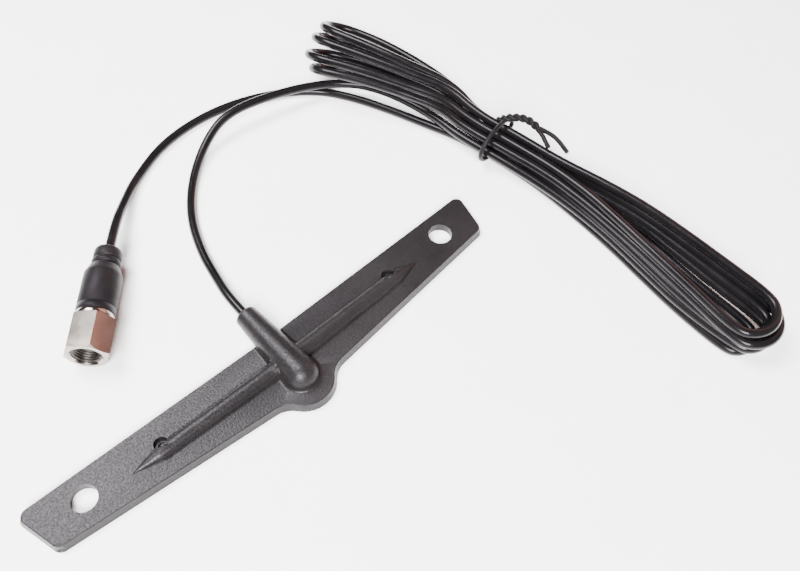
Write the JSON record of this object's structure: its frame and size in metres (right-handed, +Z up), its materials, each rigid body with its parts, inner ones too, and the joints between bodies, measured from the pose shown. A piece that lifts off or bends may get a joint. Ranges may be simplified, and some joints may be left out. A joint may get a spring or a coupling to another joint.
{
  "type": "soil moisture sensor",
  "caption": "Flat black two-arm probe blade with end fixing holes, a raised hub for a thin signal cable tied in a hank, and a screw-on plug with a free-turning nut.",
  "frame": {"origin": "midway between the two fixing holes, on the blade's flat underside", "axes": "+X along the blade, +Y the side the cable leaves from, +Z up through the blade"},
  "size_m": [0.1853, 0.1802, 0.0153],
  "materials": {
    "shell": "satin, finely grained black moulding",
    "cover": "satin, finely grained black moulding",
    "board": "glass fibre with green lacquer",
    "copper": "bare copper foil",
    "chip_black": "moulded epoxy",
    "ceramic": "fired ceramic",
    "cable_black": "glossy black PVC",
    "braid": "tinned copper braid",
    "dielectric": "white polyethylene",
    "wire_copper": "drawn copper",
    "solder": "solder",
    "clamp_steel": "rolled steel",
    "resin": "cast resin",
    "nut_nickel": "bright nickel plate",
    "body_nickel": "bright nickel plate",
    "ring_steel": "spring steel",
    "insulator_white": "white PTFE",
    "contact_gold": "gold flash",
    "gasket_rubber": "moulded rubber",
    "ferrule_brass": "crimped brass",
    "boot_black": "soft-touch black moulding",
    "tie_black": "plastic-coated wire"
  },
  "bodies": {
    "sensor": {"top_shell": "shell", "back_cover": "cover", "circuit_board": "board", "electrode_left": "copper", "electrode_right": "copper", "oscillator_chip": "chip_black", "voltage_regulator": "chip_black", "detector_diode": "chip_black", "chip_capacitors": "ceramic", "chip_resistors": "ceramic", "hub_jacket_end": "cable_black", "plug_jacket_end": "cable_black", "hub_lead": "cable_black", "connector_lead": "cable_black", "cable_hank": "cable_black", "hub_braid_end": "braid", "hub_dielectric_end": "dielectric", "plug_dielectric_end": "dielectric", "hub_conductor_end": "wire_copper", "plug_conductor_end": "wire_copper", "solder_joints": "solder", "cable_clamp": "clamp_steel", "hub_seal": "resin", "plug_body": "body_nickel", "retaining_ring": "ring_steel", "insulator": "insulator_white", "centre_contact": "contact_gold", "face_gasket": "gasket_rubber", "crimp_ferrule": "ferrule_brass", "connector_boot": "boot_black", "twist_tie_ring": "tie_black", "twist_tie_tails": "tie_black"},
    "coupling_nut": {"coupling_nut": "nut_nickel"}
  },
  "joints": [
    {"name": "coupling_nut_spin", "type": "hinge", "parent": "sensor", "child": "coupling_nut", "pos_m": [-0.03955, 0.03065, 0.00662], "axis": [-0.6691, -0.7431, 0], "continuous": true}
  ]
}
